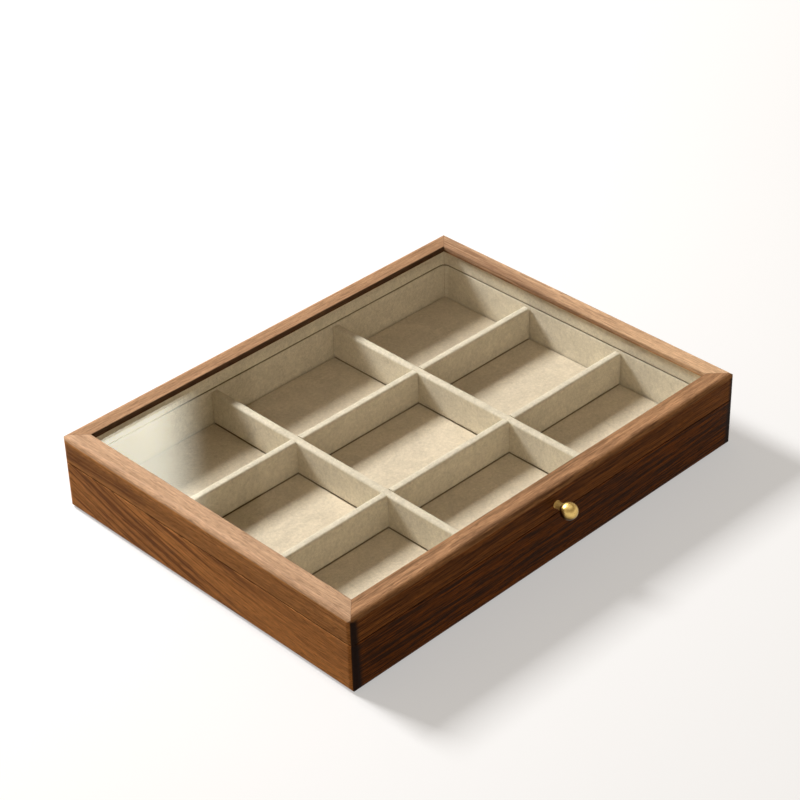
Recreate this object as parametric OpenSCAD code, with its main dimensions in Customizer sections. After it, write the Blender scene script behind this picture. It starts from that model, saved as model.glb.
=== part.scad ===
// Walnut bracelet box with nine lined compartments and a hinged, glass-topped lid.
// The origin is the centre of the underside. +Z is up, the knob faces -Y and the hinges are at +Y.
// All sizes are in millimetres and the lid is drawn closed.

/* [Case] */
// Outside width, from side to side
case_w = 300; // [240:1:400]
// Outside depth, from front to back
case_d = 230; // [180:1:320]
// Height of the lower box, from the table to its rim
box_h = 31; // [26:0.5:60]
// Height of the lid, from the rim to its top
lid_h = 17; // [15:0.5:30]
// Thickness of the walnut walls
wall_t = 7; // [6:0.5:9]
// Radius of the rounded upper edges and upright corners
edge_r = 3.5; // [1:0.5:4]
// Radius of the rounded lower edge
base_r = 3; // [0.5:0.5:3]
// Chamfer along both sides of the seam between box and lid
seam_chamfer = 0.5; // [0.2:0.1:1]

/* [Bottom panel] */
// Thickness of the bottom panel
bottom_t = 5; // [3:0.5:7]
// Depth of the rabbet that the bottom panel is let into
bottom_rabbet = 3; // [2:0.5:4]
// Gap all round the bottom panel in its rabbet
bottom_clear = 0.1; // [0.05:0.05:0.3]

/* [Lining] */
// Thickness of the suede-covered wall linings
lining_t = 2; // [1.5:0.25:3]
// Height that the box linings stand above the rim
lining_proud = 0.6; // [0:0.1:2]
// Gap between the box linings and the lid linings
lining_gap = 0.5; // [0.3:0.1:1]
// Radius of the soft edges of the linings
lining_edge_r = 0.8; // [0.3:0.1:1]
// Radius with which the covering turns the inner corners
lining_corner_r = 4; // [2:0.5:6]
// Thickness of the padded floor board
floor_t = 4; // [2:0.5:6]
// Gap round the floor board and at the ends of the dividers
lining_clear = 0.3; // [0.1:0.1:0.5]
// Gap between neighbouring linings at the corners, along the wall
lining_mitre_gap = 0.1; // [0.05:0.05:0.3]

/* [Compartments] */
// Thickness of a covered divider
divider_t = 5; // [3:0.5:7]
// Drop of the divider tops below the wall linings
divider_drop = 1.6; // [0:0.1:8]
// Radius of the soft upper edges of the dividers
divider_edge_r = 1.2; // [0.4:0.1:1.4]
// Gap on each side of a halving slot
slot_clear = 0.1; // [0.05:0.05:0.3]

/* [Lid] */
// Width of the lid rails, seen from above
rail_w = 12; // [10:0.5:20]
// Thickness of the lip that covers the edge of the glass
lip_t = 3.5; // [2.5:0.5:5]
// Radius of the rounded inner edge of the lip
lip_edge_r = 0.7; // [0.2:0.1:1.2]
// Thickness of the glass
glass_t = 2; // [2:0.5:4]
// Gap between the edge of the glass and the rabbet
glass_clear = 0.5; // [0.2:0.1:1]

/* [Knob] */
// Diameter of the ball
knob_ball_d = 10; // [8:0.5:14]
// Distance from the lid to the centre of the ball
knob_reach = 9; // [7.5:0.5:16]
// Diameter of the neck
knob_neck_d = 4.2; // [4.2:0.1:6]
// Diameter of the foot that bears on the lid
knob_foot_d = 5; // [4.8:0.2:8]
// Thickness of the foot
knob_foot_t = 0.9; // [0.6:0.1:1.5]
// Drop of the knob below the middle of the lid
knob_drop = 2; // [-1:0.5:2]
// Diameter of the knob screw
knob_screw_d = 3; // [2.5:0.1:3.2]
// Diameter of the knob screw's head
knob_head_d = 5.6; // [4.5:0.1:6]
// Thickness of the knob screw's head
knob_head_t = 1.8; // [1.2:0.1:2.2]
// Depth that the screw enters the knob
knob_grip = 6; // [4:0.5:8]

/* [Hinges] */
// Length of a hinge
hinge_l = 30; // [24:1:50]
// Distance from the end of the case to the middle of a hinge
hinge_inset = 62; // [35:1:80]
// Thickness of a hinge leaf
leaf_t = 0.9; // [0.6:0.1:1.2]
// Width of wood left between a leaf and the inner face of the wall
leaf_margin = 1.2; // [1:0.1:2]
// Outside diameter of the knuckles
knuckle_d = 4; // [3.4:0.1:5]
// Diameter of the hinge pin
pin_d = 1.8; // [1.4:0.1:2]
// Running clearance between pin and knuckle, on the radius
pin_clear = 0.05; // [0.02:0.01:0.1]
// Gap between neighbouring knuckles
knuckle_gap = 0.3; // [0.2:0.1:0.5]
// Gap between the knuckles and the back of the case
barrel_gap = 0.3; // [0.2:0.1:1]
// Depth that each leaf lies below the wood around it
leaf_sink = 0.1; // [0.05:0.05:0.3]

/* [Hinge screws] */
// Distance between the two screws of a leaf
screw_spacing = 18; // [14:1:20]
// Diameter of a screw's head
screw_head_d = 3.6; // [3:0.1:3.8]
// Diameter of a screw's shank
screw_shank_d = 1.8; // [1.4:0.1:2]
// Length of a screw under its head
screw_l = 8; // [5:0.5:9]
// Gap between a screw and its hole, on the radius
screw_clear = 0.05; // [0.02:0.01:0.1]
// Width of the slot in a screw head
drive_slot_w = 0.5; // [0.3:0.1:0.8]
// Depth of the slot in a screw head
drive_slot_depth = 0.4; // [0.2:0.1:0.6]

/* [Hidden] */
$fn = 72;

// Turns about Z that bring a side drawn at the front to each side of the case
FRONT = 0;
RIGHT = 90;
BACK = 180;
LEFT = -90;

// How far a cutting shape passes through what it cuts
over = 1;

case_h = box_h + lid_h;
lining_top = box_h + lining_proud;
lid_lining_bottom = lining_top + lining_gap;
glass_bottom = case_h - lip_t - glass_t;
floor_top = bottom_t + floor_t;
divider_top = lining_top - divider_drop;
divider_h = divider_top - floor_top;

// Clear space between the wooden walls, and between the linings
wood_in_w = case_w - 2 * wall_t;
wood_in_d = case_d - 2 * wall_t;
inner_w = wood_in_w - 2 * lining_t;
inner_d = wood_in_d - 2 * lining_t;

// Three equal cells each way, with a divider at plus and minus the offset
cells = 3;
cell_w = (inner_w - (cells - 1) * divider_t) / cells;
cell_d = (inner_d - (cells - 1) * divider_t) / cells;
cross_x = (cell_w + divider_t) / 2;
long_y = (cell_d + divider_t) / 2;

// Knob and its screw, on the front rail of the lid
knob_z = box_h + lid_h / 2 - knob_drop;
knob_bore_r = knob_screw_d / 2 + screw_clear;
head_seat_t = knob_head_t + screw_clear;

// Hinge axis, just behind the case and level with the seam
axis_y = case_d / 2 + barrel_gap + knuckle_d / 2;
axis_z = box_h;
mortise_t = leaf_t + leaf_sink;
leaf_w = wall_t - leaf_margin;
hinge_x = case_w / 2 - hinge_inset;
knuckles = 5;
knuckle_l = (hinge_l - (knuckles - 1) * knuckle_gap) / knuckles;
pin_head_r = (pin_d + knuckle_d) / 4;
pin_head_t = 0.6;
screw_y = case_d / 2 - leaf_w / 2;
screw_point_l = 1.6;

walnut = [0.42, 0.26, 0.16];
walnut_top = [0.62, 0.42, 0.30];
ply = [0.66, 0.52, 0.38];
suede = [0.80, 0.76, 0.68];
suede_floor = [0.78, 0.71, 0.63];
pane = [0.80, 0.88, 0.87, 0.3];
brass = [0.80, 0.64, 0.32];
steel = [0.70, 0.71, 0.72];

// Turns a piece drawn with its outer face on y = 0 to one side of the case
module on_side(turn, reach) {
    rotate([0, 0, turn]) translate([0, -reach, 0]) children();
}

// Waste outside a rounded corner whose point is at the origin and whose body lies at +x, +y
module corner_waste(r) {
    difference() {
        translate([-over, -over]) square(r + over);
        translate([r, r]) circle(r);
    }
}

// Waste outside a chamfered corner, placed as corner_waste
module chamfer_waste(c) {
    polygon([[-over, -over], [c + over, -over], [-over, c + over]]);
}

// Extrudes a section along X: its x runs inwards from the outer face and its y runs upwards
module run(length) {
    translate([-length / 2, 0, 0]) rotate([90, 0, 90]) linear_extrude(length) children();
}

// Plan of a mitred board, with the case's rounded upright corners at both ends
module mitre_plan(length, width) {
    difference() {
        polygon([
            [-length / 2, 0],
            [length / 2, 0],
            [length / 2 - width, width],
            [width - length / 2, width]
        ]);
        translate([-length / 2, 0]) corner_waste(edge_r);
        translate([length / 2, 0]) mirror([1, 0]) corner_waste(edge_r);
    }
}

// Mitred board of a given section
module mitred_board(length, width, height) {
    intersection() {
        run(length) children();
        translate([0, 0, -over]) linear_extrude(height + 2 * over) mitre_plan(length, width);
    }
}

// Section of a box wall, with the rabbet for the bottom panel
module wall_section() {
    difference() {
        square([wall_t, box_h]);
        corner_waste(base_r);
        translate([0, box_h]) mirror([0, 1]) chamfer_waste(seam_chamfer);
        translate([wall_t - bottom_rabbet, -over]) square([bottom_rabbet + over, bottom_t + over]);
    }
}

// Section of a lid rail: a wall like the box's with a lip over the glass
module rail_section() {
    difference() {
        square([rail_w, lid_h]);
        translate([wall_t, -over]) square([rail_w - wall_t + over, lid_h - lip_t + over]);
        chamfer_waste(seam_chamfer);
        translate([0, lid_h]) mirror([0, 1]) corner_waste(edge_r);
        translate([rail_w, lid_h]) rotate(180) corner_waste(lip_edge_r);
    }
}

// Section of a covered board that is softly rounded along its upper edges
module soft_section(t, h, r) {
    difference() {
        square([t, h]);
        translate([0, h]) mirror([0, 1]) corner_waste(r);
        translate([t, h]) rotate(180) corner_waste(r);
    }
}

// Mortise for one hinge leaf and its pilot holes, cut downwards from the seam at z = 0
module leaf_seat() {
    translate([-hinge_l / 2 - screw_clear, case_d / 2 - leaf_w - screw_clear, -mortise_t])
        cube([hinge_l + 2 * screw_clear, leaf_w + screw_clear + over, mortise_t + over]);
    for (side = [-1, 1])
        translate([side * screw_spacing / 2, screw_y, -mortise_t + leaf_t - screw_l - screw_clear])
            cylinder(r = screw_shank_d / 2 + screw_clear, h = screw_l + over);
}

// Both hinge seats of the box, or of the lid when flipped
module leaf_seats(flip) {
    for (side = [-1, 1])
        translate([side * hinge_x, 0, axis_z])
            mirror([0, 0, flip ? 1 : 0]) leaf_seat();
}

module front_board() {
    color(walnut) on_side(FRONT, case_d / 2)
        mitred_board(case_w, wall_t, box_h) wall_section();
}

module back_board() {
    color(walnut) difference() {
        on_side(BACK, case_d / 2) mitred_board(case_w, wall_t, box_h) wall_section();
        leaf_seats(false);
    }
}

module left_board() {
    color(walnut) on_side(LEFT, case_w / 2)
        mitred_board(case_d, wall_t, box_h) wall_section();
}

module right_board() {
    color(walnut) on_side(RIGHT, case_w / 2)
        mitred_board(case_d, wall_t, box_h) wall_section();
}

module bottom_panel() {
    panel_w = wood_in_w + 2 * (bottom_rabbet - bottom_clear);
    panel_d = wood_in_d + 2 * (bottom_rabbet - bottom_clear);
    color(ply) translate([-panel_w / 2, -panel_d / 2, 0]) cube([panel_w, panel_d, bottom_t]);
}

// Rectangle with rounded corners, centred on the origin
module rounded_plan(w, d, r) {
    union() {
        square([w - 2 * r, d], center = true);
        square([w, d - 2 * r], center = true);
        for (x = [-1, 1], y = [-1, 1])
            translate([x * (w / 2 - r), y * (d / 2 - r)]) circle(r);
    }
}

// Plan of the whole lining: a ring between the wooden walls and the rounded clear space
module lining_plan() {
    difference() {
        square([wood_in_w, wood_in_d], center = true);
        rounded_plan(inner_w, inner_d, lining_corner_r);
    }
}

// Plan of the quarter that belongs to one side, cut at 45 degrees in the corners
module quarter_plan(turn, reach, length) {
    width = lining_t + lining_corner_r;
    rotate(turn) translate([0, -reach]) polygon([
        [lining_mitre_gap - length / 2, 0],
        [length / 2 - lining_mitre_gap, 0],
        [length / 2 - lining_mitre_gap - width, width],
        [width + lining_mitre_gap - length / 2, width]
    ]);
}

// Waste along the inner edge of the lining's top, which is on z = 0
module lining_edge_waste() {
    straight_w = inner_w - 2 * lining_corner_r;
    straight_d = inner_d - 2 * lining_corner_r;
    for (turn = [FRONT, BACK])
        on_side(turn, inner_d / 2) run(straight_w) rotate(180) corner_waste(lining_edge_r);
    for (turn = [LEFT, RIGHT])
        on_side(turn, inner_w / 2) run(straight_d) rotate(180) corner_waste(lining_edge_r);
    for (x = [-1, 1], y = [-1, 1])
        translate([x * straight_w / 2, y * straight_d / 2, 0])
            rotate_extrude() translate([lining_corner_r, 0]) mirror([0, 1]) corner_waste(lining_edge_r);
}

// Covered lining board of one side, with its soft top edge on z = 0 and its foot below
module lining_board(turn, reach, length, height) {
    difference() {
        translate([0, 0, -height]) linear_extrude(height) intersection() {
            lining_plan();
            quarter_plan(turn, reach, length);
        }
        lining_edge_waste();
    }
}

// Wall lining of the box, standing on the bottom panel
module box_lining(turn, reach, length) {
    color(suede) translate([0, 0, lining_top])
        lining_board(turn, reach, length, lining_top - bottom_t);
}

// Wall lining of the lid, under the glass with its soft edge downwards
module lid_lining(turn, reach, length) {
    color(suede) translate([0, 0, lid_lining_bottom]) mirror([0, 0, 1])
        lining_board(turn, reach, length, glass_bottom - lid_lining_bottom);
}

module front_lining() {
    box_lining(FRONT, wood_in_d / 2, wood_in_w);
}

module back_lining() {
    box_lining(BACK, wood_in_d / 2, wood_in_w);
}

module left_lining() {
    box_lining(LEFT, wood_in_w / 2, wood_in_d);
}

module right_lining() {
    box_lining(RIGHT, wood_in_w / 2, wood_in_d);
}

module floor_board() {
    floor_w = inner_w - 2 * lining_clear;
    floor_d = inner_d - 2 * lining_clear;
    color(suede_floor) translate([0, 0, bottom_t])
        linear_extrude(floor_t) rounded_plan(floor_w, floor_d, lining_corner_r);
}

// Halving slots across a divider that runs along X, in its upper or its lower half
module halving_slots(offset, upper) {
    slot_w = divider_t + 2 * slot_clear;
    slot_z = upper ? divider_h / 2 : -over;
    for (side = [-1, 1])
        translate([side * offset - slot_w / 2, -over, slot_z])
            cube([slot_w, divider_t + 2 * over, divider_h / 2 + over]);
}

// Divider that runs along X, standing on z = 0 with its middle line on y = 0
module divider(length, offset, upper) {
    translate([0, -divider_t / 2, 0]) difference() {
        run(length) soft_section(divider_t, divider_h, divider_edge_r);
        halving_slots(offset, upper);
    }
}

module long_divider(side) {
    color(suede) translate([0, side * long_y, floor_top])
        divider(inner_w - 2 * lining_clear, cross_x, true);
}

module cross_divider(side) {
    color(suede) translate([side * cross_x, 0, floor_top]) rotate([0, 0, 90])
        divider(inner_d - 2 * lining_clear, long_y, false);
}

module front_long_divider() {
    long_divider(-1);
}

module back_long_divider() {
    long_divider(1);
}

module left_cross_divider() {
    cross_divider(-1);
}

module right_cross_divider() {
    cross_divider(1);
}

// Lid rail on one side of the case
module lid_rail(turn, reach, length) {
    translate([0, 0, box_h]) on_side(turn, reach)
        mitred_board(length, rail_w, lid_h) rail_section();
}

module lid_front_rail() {
    color(walnut_top) difference() {
        lid_rail(FRONT, case_d / 2, case_w);
        translate([0, -case_d / 2, knob_z]) rotate([-90, 0, 0]) {
            translate([0, 0, -over]) cylinder(r = knob_bore_r, h = wall_t + 2 * over);
            translate([0, 0, wall_t - head_seat_t])
                cylinder(d = knob_head_d + 4 * screw_clear, h = head_seat_t + over);
        }
    }
}

module lid_back_rail() {
    color(walnut_top) difference() {
        lid_rail(BACK, case_d / 2, case_w);
        leaf_seats(true);
    }
}

module lid_left_rail() {
    color(walnut_top) lid_rail(LEFT, case_w / 2, case_d);
}

module lid_right_rail() {
    color(walnut_top) lid_rail(RIGHT, case_w / 2, case_d);
}

module glass_pane() {
    glass_w = wood_in_w - 2 * glass_clear;
    glass_d = wood_in_d - 2 * glass_clear;
    color(pane) translate([-glass_w / 2, -glass_d / 2, glass_bottom])
        cube([glass_w, glass_d, glass_t]);
}

module lid_front_lining() {
    lid_lining(FRONT, wood_in_d / 2, wood_in_w);
}

module lid_back_lining() {
    lid_lining(BACK, wood_in_d / 2, wood_in_w);
}

module lid_left_lining() {
    lid_lining(LEFT, wood_in_w / 2, wood_in_d);
}

module lid_right_lining() {
    lid_lining(RIGHT, wood_in_w / 2, wood_in_d);
}

// Half section of the knob: foot, neck and ball, with its axis on y and its foot on y = 0
module knob_section() {
    intersection() {
        union() {
            translate([0, knob_reach]) circle(d = knob_ball_d);
            square([knob_neck_d / 2, knob_reach]);
            square([knob_foot_d / 2, knob_foot_t]);
        }
        square([knob_ball_d, knob_reach + knob_ball_d]);
    }
}

module knob() {
    color(brass) translate([0, -case_d / 2, knob_z]) rotate([90, 0, 0]) difference() {
        rotate_extrude() knob_section();
        translate([0, 0, -over]) cylinder(r = knob_bore_r, h = knob_grip + screw_clear + over);
    }
}

module knob_screw() {
    shank_l = wall_t - knob_head_t + knob_grip;
    color(steel) translate([0, wall_t - case_d / 2, knob_z]) rotate([90, 0, 0]) difference() {
        union() {
            cylinder(d = knob_head_d, h = knob_head_t);
            translate([0, 0, knob_head_t]) cylinder(d = knob_screw_d, h = shank_l);
        }
        translate([-knob_head_d, -drive_slot_w / 2, -over])
            cube([2 * knob_head_d, drive_slot_w, drive_slot_depth + over]);
    }
}

// Screw with a countersunk head, its point down and the top of its head on z = 0
module leaf_screw() {
    head_r = screw_head_d / 2 - screw_clear;
    shank_r = screw_shank_d / 2;
    difference() {
        rotate_extrude() polygon([
            [0, 0],
            [head_r, 0],
            [shank_r, -leaf_t],
            [shank_r, screw_point_l - screw_l],
            [0, -screw_l]
        ]);
        translate([-screw_head_d, -drive_slot_w / 2, -drive_slot_depth])
            cube([2 * screw_head_d, drive_slot_w, drive_slot_depth + over]);
    }
}

// Leaf with its own knuckles, drawn under z = 0 with the hinge axis on z = 0 at axis_y
module hinge_leaf(first) {
    difference() {
        union() {
            translate([-hinge_l / 2, case_d / 2 - leaf_w, -mortise_t]) cube([hinge_l, leaf_w, leaf_t]);
            for (i = [first : 2 : knuckles - 1])
                translate([i * (knuckle_l + knuckle_gap) - hinge_l / 2, 0, 0]) {
                    translate([0, case_d / 2 - leaf_w, -mortise_t])
                        cube([knuckle_l, axis_y - case_d / 2 + leaf_w, leaf_t]);
                    translate([0, axis_y, 0]) rotate([0, 90, 0]) cylinder(d = knuckle_d, h = knuckle_l);
                }
        }
        translate([-hinge_l / 2 - over, axis_y, 0]) rotate([0, 90, 0])
            cylinder(r = pin_d / 2 + pin_clear, h = hinge_l + 2 * over);
        for (side = [-1, 1])
            translate([side * screw_spacing / 2, screw_y, -leaf_sink])
                rotate_extrude() polygon([
                    [0, over],
                    [screw_head_d / 2, over],
                    [screw_head_d / 2, 0],
                    [screw_shank_d / 2 + screw_clear, -leaf_t],
                    [screw_shank_d / 2 + screw_clear, -leaf_t - over],
                    [0, -leaf_t - over]
                ]);
    }
}

module box_leaf(side) {
    color(brass) translate([side * hinge_x, 0, axis_z]) hinge_leaf(0);
}

module lid_leaf(side) {
    color(brass) translate([side * hinge_x, 0, axis_z]) mirror([0, 0, 1]) hinge_leaf(1);
}

module hinge_pin(side) {
    color(brass) translate([side * hinge_x - hinge_l / 2, axis_y, axis_z]) rotate([0, 90, 0]) {
        cylinder(d = pin_d, h = hinge_l);
        for (end = [-pin_head_t, hinge_l])
            translate([0, 0, end]) cylinder(r = pin_head_r, h = pin_head_t);
    }
}

module left_hinge_box_leaf() {
    box_leaf(-1);
}

module left_hinge_lid_leaf() {
    lid_leaf(-1);
}

module left_hinge_pin() {
    hinge_pin(-1);
}

module right_hinge_box_leaf() {
    box_leaf(1);
}

module right_hinge_lid_leaf() {
    lid_leaf(1);
}

module right_hinge_pin() {
    hinge_pin(1);
}

// The four screws of the box leaves, or of the lid leaves when flipped
module leaf_screws(flip) {
    color(brass) for (side = [-1, 1], end = [-1, 1])
        translate([side * hinge_x + end * screw_spacing / 2, screw_y, axis_z])
            mirror([0, 0, flip ? 1 : 0]) translate([0, 0, -leaf_sink]) leaf_screw();
}

module box_leaf_screws() {
    leaf_screws(false);
}

module lid_leaf_screws() {
    leaf_screws(true);
}

front_board();
back_board();
left_board();
right_board();
bottom_panel();
front_lining();
back_lining();
left_lining();
right_lining();
floor_board();
front_long_divider();
back_long_divider();
left_cross_divider();
right_cross_divider();
lid_front_rail();
lid_back_rail();
lid_left_rail();
lid_right_rail();
glass_pane();
lid_front_lining();
lid_back_lining();
lid_left_lining();
lid_right_lining();
knob();
knob_screw();
left_hinge_box_leaf();
left_hinge_lid_leaf();
left_hinge_pin();
right_hinge_box_leaf();
right_hinge_lid_leaf();
right_hinge_pin();
box_leaf_screws();
lid_leaf_screws();
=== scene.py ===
# %% [markdown]
# # A bracelet box with a glass lid
#
# This lesson dresses a finished construction model of a shallow walnut box: nine suede-lined compartments,
# a hinged lid that holds a pane of glass, brass butt hinges and a brass ball knob. The model, called the
# frame here, has every piece at its real size and place, so we never move its pieces. We give them
# finishes, and we swap the soft or very small ones for meshes with more life in them. The frame comes
# first, because every measure below is read from it.

# %% Load the frame
import math
from functools import reduce
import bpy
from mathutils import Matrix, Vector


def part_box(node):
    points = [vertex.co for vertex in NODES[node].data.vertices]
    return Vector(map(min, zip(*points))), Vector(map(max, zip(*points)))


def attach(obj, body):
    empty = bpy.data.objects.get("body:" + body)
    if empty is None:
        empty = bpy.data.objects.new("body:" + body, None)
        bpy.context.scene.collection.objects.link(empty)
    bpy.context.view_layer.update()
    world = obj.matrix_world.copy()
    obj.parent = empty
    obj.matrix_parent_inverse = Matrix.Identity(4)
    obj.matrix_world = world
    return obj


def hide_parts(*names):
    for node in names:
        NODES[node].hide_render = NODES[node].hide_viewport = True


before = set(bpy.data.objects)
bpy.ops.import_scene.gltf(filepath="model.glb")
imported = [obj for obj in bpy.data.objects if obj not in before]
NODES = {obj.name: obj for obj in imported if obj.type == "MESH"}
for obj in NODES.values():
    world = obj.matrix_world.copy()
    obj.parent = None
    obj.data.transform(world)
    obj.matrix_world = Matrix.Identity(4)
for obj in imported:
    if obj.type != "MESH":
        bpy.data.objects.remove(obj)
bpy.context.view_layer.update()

from types import SimpleNamespace

import bmesh
import bpy
from mathutils import Matrix, Vector, noise

MM = 0.001

# %% [markdown]
# ## Measures
#
# A finish that follows the edges of the box has to know where they are. We ask the frame for the corners
# of a few pieces instead of typing sizes again, so the looks follow any change to the model.

# %% Read the main measures from the frame
HALF_W = -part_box("left_board")[0].x
HALF_D = -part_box("front_board")[0].y
SEAM_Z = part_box("front_board")[1].z
CASE_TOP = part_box("lid_front_rail")[1].z
LINING_REACH_X = -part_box("left_lining")[0].x
LINING_REACH_Y = -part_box("front_lining")[0].y
GAP_Z = (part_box("front_lining")[1].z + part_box("lid_front_lining")[0].z) / 2
FLOOR_LOW, FLOOR_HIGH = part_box("floor_board")
CROSS_LOW, CROSS_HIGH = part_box("right_cross_divider")
LONG_LOW, LONG_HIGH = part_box("back_long_divider")
DIVIDER_T = CROSS_HIGH.x - CROSS_LOW.x
CROSS_X = (CROSS_LOW.x + CROSS_HIGH.x) / 2
LONG_Y = (LONG_LOW.y + LONG_HIGH.y) / 2
print("case %.1f x %.1f x %.1f mm, seam at %.1f mm" % (
    HALF_W * 2 / MM, HALF_D * 2 / MM, CASE_TOP / MM, SEAM_Z / MM))

# %% [markdown]
# ## Words for nodes
#
# A node tree built by hand in the editor is a picture. In a script it becomes a long list of calls, so
# two small classes keep it readable. A `Tree` adds nodes: in its calls, a word with a capital letter is
# an input of the node and any other word is an option. A `Value` is an output socket. Sums with it add
# maths nodes, so `coarse * 0.45 + fine * 0.65` makes three nodes and still reads like a sum. Its other
# words are the nodes that we need most often: `spread` is a smooth step from one value to another, `mix`
# and `tinted` blend and multiply colours, and `noise` draws noise out along the grain.

# %% Helper: a tree that takes nodes
class Tree:
    """A node tree of a material, a world or a group."""

    def __init__(self, data):
        self.data = data

    def feed(self, socket, value):
        """Connects an input to a Value, or fills it with a plain number, colour or vector."""
        if isinstance(value, Value):
            self.data.links.new(value.socket, socket)
        else:
            socket.default_value = value

    def fill(self, node, feeds):
        """Feeds several inputs of a node, each called by its name or number."""
        for key, value in feeds.items():
            self.feed(node.inputs[key], value)

    def add(self, kind, feeds=None, **words):
        """Adds a node. feeds and capitalised words fill its inputs, and other words are its options."""
        node = self.data.nodes.new(kind)
        for word in words:
            if word[0].islower():
                setattr(node, word, words[word])
        self.fill(node, feeds or {})
        self.fill(node, {word.replace("_", " "): words[word] for word in words if word[0].isupper()})
        return node

    def put(self, kind, feeds=None, out=0, **words):
        """Adds a node and returns one of its outputs."""
        return Value(self, self.add(kind, feeds, **words).outputs[out])

    def outputs(self, kind, feeds=None, **words):
        """Adds a node and returns all its outputs by name."""
        return {socket.name: Value(self, socket) for socket in self.add(kind, feeds, **words).outputs}

    def shape(self, kind, **words):
        """Adds a node that makes or changes a shape."""
        return self.put("GeometryNode" + kind, **words)

    def point(self, x=0.0, y=0.0, z=0.0):
        """A vector made from three numbers."""
        return self.put("ShaderNodeCombineXYZ", X=x, Y=y, Z=z)

    def blend(self, share, first, second, mode="MIX"):
        """Blends two colours. A Mix node takes them at its inputs 6 and 7 and gives one at output 2."""
        feeds = {0: share, 6: first, 7: second}
        return self.put("ShaderNodeMix", feeds, 2, data_type="RGBA", blend_type=mode)

    def rays(self, *kinds):
        """One for rays of the named kinds, else zero."""
        path = self.outputs("ShaderNodeLightPath")
        return most(*(path[f"Is {kind} Ray"] for kind in kinds))

    def give(self, values):
        """Ends a group by connecting its outputs."""
        self.fill(self.add("NodeGroupOutput"), values)
        print(self.data.name, "group:", len(self.data.nodes), "nodes")

    def show(self, shader):
        """Ends a material by connecting its surface."""
        self.feed(self.data.nodes["Material Output"].inputs["Surface"], shader)

    def give_mesh(self, geometry, material):
        """Ends a recipe for a shape: real geometry in one material."""
        real = self.shape("RealizeInstances", Geometry=geometry)
        self.give({"Mesh": self.shape("SetMaterial", Geometry=real, Material=material)})


print("a Tree can", ", ".join(word for word in vars(Tree) if word[0] != "_"))

# %% Helper: a socket to calculate with
class Value:
    """An output socket of a tree. Each of its words adds a node and gives that node's output."""

    def __init__(self, tree, socket):
        self.tree = tree
        self.socket = socket

    def calc(self, operation, *others):
        return self.tree.put("ShaderNodeMath", dict(enumerate((self, *others))), operation=operation)

    def __add__(self, other):
        return self.calc("ADD", other)

    def __sub__(self, other):
        return self.calc("SUBTRACT", other)

    def __mul__(self, other):
        return self.calc("MULTIPLY", other)

    def __truediv__(self, other):
        return self.calc("DIVIDE", other)

    def __abs__(self):
        return self.calc("ABSOLUTE")

    def spread(self, start, end, low=0.0, high=1.0):
        """A smooth step: low where this value is start, high where it is end."""
        return self.tree.put("ShaderNodeMapRange", interpolation_type="SMOOTHSTEP", Value=self,
                             From_Min=start, From_Max=end, To_Min=low, To_Max=high)

    def mix(self, first, second):
        """The first colour where this value is 0, the second where it is 1."""
        return self.tree.blend(self, first, second)

    def tinted(self, tint):
        """This colour times a colour, or times a number for all three parts."""
        return self.tree.blend(1.0, self, tint, "MULTIPLY")

    def vector(self, operation, *others):
        """Vector maths. A length and a dot product are numbers, the rest are vectors."""
        out = "Value" if operation in ("LENGTH", "DOT_PRODUCT") else "Vector"
        feeds = dict(enumerate((self, *others)))
        return self.tree.put("ShaderNodeVectorMath", feeds, out, operation=operation)

    def scaled(self, factor):
        return self.tree.put("ShaderNodeVectorMath", {0: self}, operation="SCALE", Scale=factor)

    def split(self):
        return self.tree.outputs("ShaderNodeSeparateXYZ", {0: self}).values()

    def noise(self, along, across, detail=2.0, roughness=0.5, distortion=0.0):
        """Noise that is drawn out along X: along and across are its frequencies per millimetre."""
        stretched = self.vector("MULTIPLY", (along, across, across))
        return self.tree.put("ShaderNodeTexNoise", out="Fac", Vector=stretched, Scale=1.0, Detail=detail,
                             Roughness=roughness, Distortion=distortion)


def most(*values):
    """The largest of some values."""
    return reduce(lambda first, second: first.calc("MAXIMUM", second), values)


print("a Value can", ", ".join(word for word in vars(Value) if word[0] != "_"))

# %% [markdown]
# A node group is a tree inside a node. We use one for each effect that several materials share, such as
# the figure of the wood. `new_group` makes an empty one from a table of inputs with their first values,
# and takes the kind of each socket from its value, or from a word that names the kind. `paint` turns a
# colour as a screen shows it into the linear values that shaders use.

# %% Helpers for node groups and colours
def socket_kind(value):
    if isinstance(value, str):
        return value
    if isinstance(value, tuple):
        return "Color" if len(value) == 4 else "Vector"
    return "Int" if isinstance(value, int) else "Float"


def new_group(name, inputs, outputs, kind="ShaderNodeTree"):
    """An empty group and its inputs as Values. outputs maps names to kinds of socket."""
    tree = Tree(bpy.data.node_groups.new(name, kind))
    for table, direction in ((inputs, "INPUT"), (outputs, "OUTPUT")):
        for label, value in table.items():
            socket = tree.data.interface.new_socket(
                label, in_out=direction, socket_type="NodeSocket" + socket_kind(value))
            if not isinstance(value, str):
                socket.default_value = value
    return tree, tree.outputs("NodeGroupInput")


def paint(red, green, blue):
    """A colour given as it looks on a screen, 0 to 255, in linear values."""
    linear = [((part / 255 + 0.055) / 1.055) ** 2.4 if part > 10 else part / 255 / 12.92
              for part in (red, green, blue)]
    return (*linear, 1.0)


SURFACE = {"Color": "Color", "Roughness": "Float", "Height": "Float"}
print("paint(188, 188, 188) is", [round(part, 3) for part in paint(188, 188, 188)])

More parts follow.
